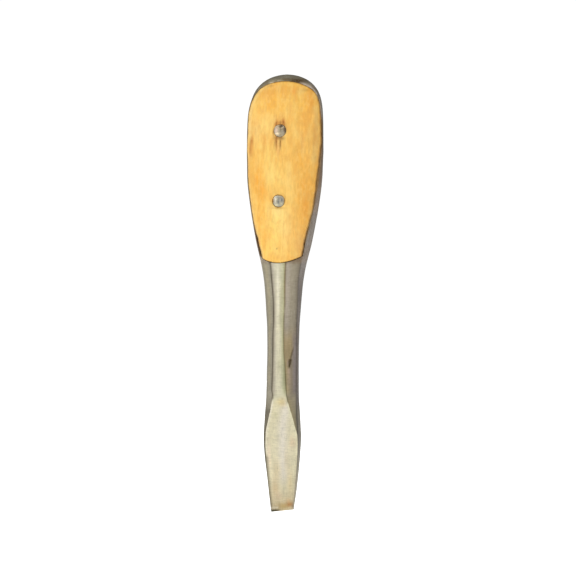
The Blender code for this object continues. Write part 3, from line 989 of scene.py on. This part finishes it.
def hammered(x, z, flats):
    """Height of a peened head: a low dome beaten into flats."""
    top = HEAD_CROWN * (1 - 0.55 * (x**2 + z**2))
    for (tilt_x, tilt_z, middle) in flats:
        top = np.minimum(top, middle + tilt_x * x + tilt_z * z)
    return top


def upper_outline(angles):
    return 0.985 - 0.02 * np.cos(3 * angles + 0.4) + 0.01 * np.cos(5 * angles)


def lower_outline(angles):
    return 0.93 - 0.06 * np.cos(4 * angles + 0.25) + 0.008 * np.cos(angles + 0.6)


def upper_dent(x, z):
    """Nick in the upper edge of the head, to the right."""
    return 0.26 * bell(x, 0.28 + 0.35 * (z - 0.7), 0.32) * ramp(z, 0.3, 0.85)


def lower_dent(x, z):
    """Two small hollows beside the middle of the head."""
    return 0.16 * blot(x, z, (0.22, 0.3, 0.22, 0.2)) + 0.1 * blot(x, z, (-0.1, -0.1, 0.16, 0.3))


def head_rings(radius, base, flats, dent, outline, seed):
    """Rings of a peened head, from its middle outwards."""
    angles = even_angles(RIVET_SPOKES)
    rings = []
    for ring in range(1, RIVET_RINGS + 1):
        share = (ring / RIVET_RINGS) ** 0.8
        reach = share * outline(angles)
        (x, z) = (reach * np.cos(angles), reach * np.sin(angles))
        flat = np.stack((x * radius, np.zeros_like(x), z * radius), 1)
        height = hammered(x, z, flats) + waves(flat, HEAD_WAVES, seed) * HEAD_RELIEF
        height = height - HEAD_RIM_DROP * share**14 - dent(x, z)
        rings.append(np.stack((x * radius, base + height, z * radius), 1))
    return rings


# Patches of a head's colour, as above but in shares of its radius. On the upper head the light patches at
# the left and lower left are painted highlights, and the dark ones at the top, the right and in the nick
# are painted shade; on the lower head the light patches at the left, lower left and lower right are
# painted highlights.
UPPER_LIGHT_AND_STAINS = (
    ("b09c7a", 0.1, 0, 2, 2, 0.7),
    ("5f4c36", 0.15, 0.66, 0.42, 0.24, 1), ("64523e", 0.85, 0.15, 0.3, 0.6, 1.1),
    ("e6c9b4", -0.58, 0.05, 0.26, 0.36, 1), ("cdb294", -0.42, 0.45, 0.22, 0.2, 0.8),
    ("756b52", 0.12, 0.3, 0.16, 0.42, 0.9), ("f3dfba", -0.44, -0.48, 0.34, 0.24, 1),
    ("8f816c", -0.9, 0.4, 0.16, 0.4, 0.6), ("9a9484", 0.4, -0.2, 0.24, 0.3, 0.6),
    ("ab8656", -0.05, 1, 0.75, 0.17, 1.2),
)
LOWER_LIGHT_AND_STAINS = (
    ("b8a585", 0, 0.5, 2, 0.6, 0.5),
    ("e2dcc6", -0.45, 0.1, 0.16, 0.4, 0.9), ("e8dfba", -0.3, -0.62, 0.4, 0.2, 0.9),
    ("7d8484", 0, -0.1, 0.14, 0.5, 0.9), ("6f7477", 0.5, 0.2, 0.2, 0.34, 0.9),
    ("cfd2c8", 0.24, 0.3, 0.12, 0.2, 0.8), ("d5cdac", 0.5, -0.45, 0.22, 0.22, 0.7),
    ("8d9494", -0.2, 0.6, 0.4, 0.14, 0.8), ("796a48", -0.1, 0.95, 0.85, 0.18, 1),
    ("c9ab80", -0.86, 0.3, 0.14, 0.55, 0.8),
)


def rivet_mesh(name, flats, outline, dent, seed):
    """Both peened heads and the neck between them, as one stack of rings."""
    (level_z, radius, half) = rivet_place(name)
    base = half - HEAD_CROWN
    under = base - HEAD_DEPTH
    turned = tuple((-b, a, c) for (a, b, c) in flats)
    front = head_rings(radius, base, flats, dent, outline, seed)
    back = head_rings(radius, base, turned, nothing, outline, seed + 5)
    angles = even_angles(RIVET_SPOKES)
    skirt = radius * outline(angles)
    neck = NECK_SHARE * radius
    stack = [ring * (1, FRONT, 1) for ring in front]
    for (reach, y) in ((skirt, -under), (neck, -under), (neck, under), (skirt, under)):
        stack.append(ring_at(angles, reach, y))
    stack += back[::-1]
    points = np.concatenate(stack) + (0, 0, level_z)
    return new_mesh_object(name + "_peened", points, ring_faces(len(stack), RIVET_SPOKES))


def paint_rivet(item, name, dent, light_and_stains):
    """Colours of a rivet's heads: stains with painted highlights and shade, a dark rim, and painted shade
    in the dents.
    """
    (level_z, radius, _) = rivet_place(name)
    (x, y, z) = points_of(item).T
    (x, z) = (x / radius, (z - level_z) / radius)
    tint = np.tile(rgb("b3ae9b"), (len(x), 1))
    dab(tint, "8b7a58", 0.8 * ramp(np.hypot(x, z), 0.84, 1))
    dab_blots(tint, x, z, light_and_stains)
    # Painted shade in the dents.
    dab(tint, "4a3f2f", 3.4 * dent(x, z) * (y < 0))
    store_tint(item, tint)


def make_rivet(name, flats, outline, dent, light_and_stains, seed):
    """A through rivet with a hammered head on each side."""
    item = rivet_mesh(name, flats, outline, dent, seed)
    smooth(item, 30)
    paint_rivet(item, name, dent, light_and_stains)
    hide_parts(name)
    return item


# -------- materials

WHITE = (1, 1, 1)


class Shader:
    """Small helper that adds nodes to the tree of a material or a world."""

    def __init__(self, owner):
        owner.use_nodes = True
        self.owner = owner
        self.tree = owner.node_tree
        self.surface = self.tree.nodes.get("Principled BSDF")
        self.places = self.tree.nodes.new("ShaderNodeTexCoord").outputs

    def put(self, socket, value):
        if isinstance(value, bpy.types.NodeSocket):
            self.tree.links.new(value, socket)
        elif isinstance(value, tuple):
            socket.default_value = (*value, 1)
        else:
            socket.default_value = value

    def add(self, kind, output, inputs, **settings):
        """One output of a new node with these settings and inputs."""
        node = self.tree.nodes.new("ShaderNode" + kind)
        for (name, value) in settings.items():
            setattr(node, name, value)
        for (name, value) in inputs.items():
            self.put(node.inputs[name], value)
        return node.outputs[output]

    def math(self, operation, a, b):
        return self.add("Math", 0, {0: a, 1: b}, operation=operation)

    def mix(self, share, a, b):
        return self.add("Mix", 2, {0: share, 6: a, 7: b}, data_type="RGBA")

    def noise(self, size, detail, roughness, seed):
        """Noise from 0 to 1; size is the grain in millimetres along each axis."""
        scale = [1 / (MM * part) for part in size]
        shift = [seed, seed * 1.7, seed * 0.3]
        spot = self.add("Mapping", 0, {"Vector": self.places["Object"], "Scale": scale, "Location": shift})
        inputs = {"Vector": spot, "Scale": 1, "Detail": detail, "Roughness": roughness}
        return self.add("TexNoise", "Fac", inputs)

    def stretch(self, value, low, high, to_low=0, to_high=1):
        limits = {"From Min": low, "From Max": high, "To Min": to_low, "To Max": to_high}
        return self.add("MapRange", 0, {"Value": value, **limits})

    def camera_ray(self):
        return self.add("LightPath", "Is Camera Ray", {})

    def mark(self, name, output="Fac"):
        """Number or colour kept on the mesh under a name."""
        return self.add("Attribute", output, {}, attribute_name=name)

    def shade(self, colour, value):
        """Colour made lighter or darker by a value near 1."""
        return self.add("VectorMath", 0, {0: colour, "Scale": value}, operation="SCALE")

    def painted(self, value, low, high, dark, light):
        """The painted colour, made darker or lighter by a noise."""
        return self.shade(self.mark("tint", "Color"), self.stretch(value, low, high, dark, light))

    def stain(self, colour, value, low, high, share, code):
        """Colour pulled towards another one, up to a share, where a noise runs from low to high."""
        return self.mix(self.stretch(value, low, high, 0, share), colour, rgb(code))

    def bump(self, height, strength, distance, **under):
        """Normal bent by a height in millimetres, over another one given as Normal."""
        inputs = {"Height": height, "Strength": strength, "Distance": distance * MM, **under}
        return self.add("Bump", 0, inputs)

    def finish(self, *looks):
        """The material, given its colour, roughness, metallic share and normal."""
        for (name, value) in zip(("Base Color", "Roughness", "Metallic", "Normal"), looks):
            self.put(self.surface.inputs[name], value)
        return self.owner


def new_shader(name):
    return Shader(bpy.data.materials.new(name))


def wood_material(name, seed):
    """Varnished wood: painted colour with its painted light and shade, broad and fine figure, pores and a
    darker rim.
    """
    wood = new_shader(name)
    broad = wood.noise((2.6, 30, 8), 3, 0.55, seed)
    streak = wood.noise((0.8, 30, 3.4), 4, 0.6, seed + 3)
    fibre = wood.noise((0.3, 9, 4), 3, 0.6, seed + 7)
    pore = wood.noise((0.2, 9, 1.3), 2, 0.5, seed + 11)
    mottle = wood.noise((1.7, 30, 2.2), 2, 0.5, seed + 5)
    colour = wood.painted(streak, 0.3, 0.7, 0.88, 1.08)
    colour = wood.stain(colour, broad, 0.5, 0.72, 0.4, "e69d3c")
    colour = wood.stain(colour, broad, 0.5, 0.28, 0.35, "fad880")
    colour = wood.stain(colour, mottle, 0.52, 0.72, 0.3, "e2a452")
    colour = wood.stain(colour, mottle, 0.48, 0.3, 0.25, "fbd27c")
    colour = wood.stain(colour, fibre, 0.56, 0.8, 0.26, "cf9343")
    colour = wood.stain(colour, pore, 0.64, 0.8, 0.24, "b97d35")
    rim_darkening = wood.math("MULTIPLY", wood.mark("rim"), wood.stretch(broad, 0.35, 0.65, 0.15, 0.55))
    colour = wood.mix(rim_darkening, colour, rgb("6a4824"))
    normal = wood.bump(fibre, 0.2, 0.04, Normal=wood.bump(streak, 0.2, 0.08))
    wood.surface.inputs["Specular IOR Level"].default_value = 0.35
    return wood.finish(colour, wood.stretch(streak, 0.3, 0.7, 0.42, 0.6), 0, normal)


def steel_material():
    """Worn forged steel: painted colour with its painted light and shade, clouds, drawn lines, specks and
    fine scratches.
    """
    steel = new_shader("worn_forged_steel")
    cloud = steel.noise((3, 3, 5), 4, 0.6, 1)
    drawn = steel.noise((0.4, 0.4, 9), 4, 0.6, 2)
    speck = steel.noise((0.55, 0.55, 0.7), 3, 0.6, 3)
    scratch = steel.noise((0.14, 0.14, 4), 3, 0.6, 4)
    ribs = steel.noise((2.6, 2.6, 0.55), 3, 0.6, 5)
    colour = steel.painted(cloud, 0.3, 0.7, 0.9, 1.1)
    colour = steel.shade(colour, steel.stretch(ribs, 0.3, 0.7, 0.9, 1.09))
    colour = steel.stain(colour, drawn, 0.52, 0.78, 0.3, "7f7862")
    colour = steel.stain(colour, drawn, 0.46, 0.28, 0.2, "ddd8c6")
    colour = steel.stain(colour, speck, 0.6, 0.76, 0.4, "7a6c50")
    grime = steel.math("MULTIPLY", steel.mark("grime"), steel.stretch(cloud, 0.45, 0.62))
    colour = steel.mix(grime, colour, rgb("5d482e"))
    normal = steel.bump(ribs, 0.15, 0.03, Normal=steel.bump(scratch, 0.25, 0.02))
    normal = steel.bump(speck, 0.25, 0.03, Normal=normal)
    dull = steel.stretch(cloud, 0.3, 0.7, 0.36, 0.5)
    metallic = steel.math("SUBTRACT", 0.85, steel.math("MULTIPLY", steel.mark("seat"), 0.85))
    return steel.finish(colour, dull, metallic, normal)


def rivet_material():
    """Hammered steel with dull specks."""
    rivet = new_shader("hammered_rivet_steel")
    cloud = rivet.noise((1.2, 1.2, 1.2), 4, 0.6, 5)
    speck = rivet.noise((0.3, 0.3, 0.3), 3, 0.6, 6)
    colour = rivet.stain(rivet.painted(cloud, 0.3, 0.7, 0.85, 1.1), speck, 0.55, 0.72, 0.4, "77705e")
    dull = rivet.stretch(cloud, 0.3, 0.7, 0.34, 0.48)
    return rivet.finish(colour, dull, 0.75, rivet.bump(speck, 0.35, 0.04))


def floor_material():
    """Pale floor that the camera sees as white; light and reflections see plain pale grey."""
    pale = new_shader("pale_floor")
    glow = pale.stretch(pale.camera_ray(), 0, 1, 0.25, 0.8)
    pale.put(pale.surface.inputs["Emission Color"], WHITE)
    pale.put(pale.surface.inputs["Emission Strength"], glow)
    grain = pale.noise((40, 40, 40), 2, 0.5, 8)
    colour = pale.mix(pale.stretch(grain, 0.3, 0.7), (0.8, 0.8, 0.79), (0.77, 0.77, 0.77))
    return pale.finish(colour, 0.9, 0, pale.bump(grain, 0.02, 0.1))


# -------- floor, light and camera

# The photo's view. VIEW_DISTANCE and FLOOR_REACH are in metres, the other lengths in millimetres;
# VIEW_HEIGHT is what the picture spans, and the camera aims AIM_ASIDE to the right of the axis.
VIEW_TURN = math.radians(17)
VIEW_ROLL = math.radians(0.54)
VIEW_DISTANCE = 1.1
VIEW_HEIGHT = 233.8
AIM_HEIGHT = 91
AIM_ASIDE = 1.75
SENSOR_WIDTH = 36
FLOOR_REACH = 1.5
FLOOR_DROP = 0.4
# The world's brightness: at the front, behind, added towards the top, and seen by the camera.
WORLD_LIGHT = (0.78, 0.18)
WORLD_LIFT = 0.1
WORLD_SEEN = 1.05
# Lamps: side of the square, and places below, in metres.
LAMP_SIZE = 0.6


def make_floor():
    builder = bmesh.new()
    bmesh.ops.create_grid(builder, x_segments=8, y_segments=8, size=FLOOR_REACH)
    mesh = bpy.data.meshes.new("floor")
    builder.to_mesh(mesh)
    builder.free()
    floor = add_object("floor", mesh)
    floor.location.z = -FLOOR_DROP * MM
    mesh.materials.append(floor_material())


def aim(item, place, target):
    """Put a lamp at a place in metres and point it at a target."""
    item.location = place
    item.rotation_euler = (Vector(place) - Vector(target)).to_track_quat("Z", "Y").to_euler()


def make_light(name, place, power, shine=True):
    """Soft square lamp aimed at the tool; one without shine lights but isn't reflected."""
    data = bpy.data.lights.new(name, "AREA")
    data.shape = "SQUARE"
    data.size = LAMP_SIZE
    data.energy = power
    item = add_object(name, data)
    aim(item, place, (0, 0, 0.5 * TOP * MM))
    item.visible_glossy = shine


def make_world():
    """White to the camera; for light and reflections bright in front and darker behind."""
    world = bpy.data.worlds.new("studio")
    sky = Shader(world)
    split = sky.tree.nodes.new("ShaderNodeSeparateXYZ")
    sky.put(split.inputs[0], sky.places["Generated"])
    depth = sky.stretch(split.outputs["Y"], -1, 1, *WORLD_LIGHT)
    light = sky.add("Math", 0, {0: split.outputs["Z"], 1: WORLD_LIFT, 2: depth}, operation="MULTIPLY_ADD")
    strength = sky.add("Mix", 0, {0: sky.camera_ray(), 2: light, 3: WORLD_SEEN}, data_type="FLOAT")
    background = sky.tree.nodes["Background"]
    sky.put(background.inputs["Color"], WHITE)
    sky.put(background.inputs["Strength"], strength)
    bpy.context.scene.world = world


def make_camera():
    data = bpy.data.cameras.new("photo_view")
    camera = add_object("photo_view", data)
    back = Vector((math.sin(VIEW_TURN), -math.cos(VIEW_TURN), 0))
    right = Vector((math.cos(VIEW_TURN), math.sin(VIEW_TURN), 0))
    target = Vector((0, 0, AIM_HEIGHT * MM)) + right * (AIM_ASIDE * MM)
    camera.location = target + back * VIEW_DISTANCE
    camera.rotation_euler = back.to_track_quat("Z", "Y").to_euler()
    camera.rotation_euler.rotate_axis("Z", VIEW_ROLL)
    data.sensor_width = SENSOR_WIDTH
    data.lens = data.sensor_width * VIEW_DISTANCE / (VIEW_HEIGHT * MM)
    data.clip_start = 0.05
    data.clip_end = 20
    scene = bpy.context.scene
    scene.camera = camera
    scene.view_settings.view_transform = "Standard"
    scene.view_settings.look = "None"


def settle(item, material):
    """Give a finished piece its material and its place on the tool's one rigid body."""
    item.data.materials.clear()
    item.data.materials.append(material)
    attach(item, "root")


settle(make_forging(), steel_material())
front_wood = make_scale("front_wood", "front_scale", FRONT, 21)
settle(front_wood, wood_material("honey_wood_front", 2))
back_wood = make_scale("back_wood", "back_scale", BACK, 34)
settle(back_wood, wood_material("honey_wood_back", 9))
rivet_finish = rivet_material()
upper = (UPPER_FLATS, upper_outline, upper_dent, UPPER_LIGHT_AND_STAINS, 41)
lower = (LOWER_FLATS, lower_outline, lower_dent, LOWER_LIGHT_AND_STAINS, 47)
for (rivet_name, looks) in zip(RIVETS, (upper, lower)):
    settle(make_rivet(rivet_name, *looks), rivet_finish)

make_floor()
make_world()
make_light("key", (-0.55, -0.75, 0.7), 4)
make_light("fill", (0.7, -0.8, 0.3), 0.6)
make_light("back_fill", (0.25, 0.7, 0.75), 5, shine=False)
make_camera()
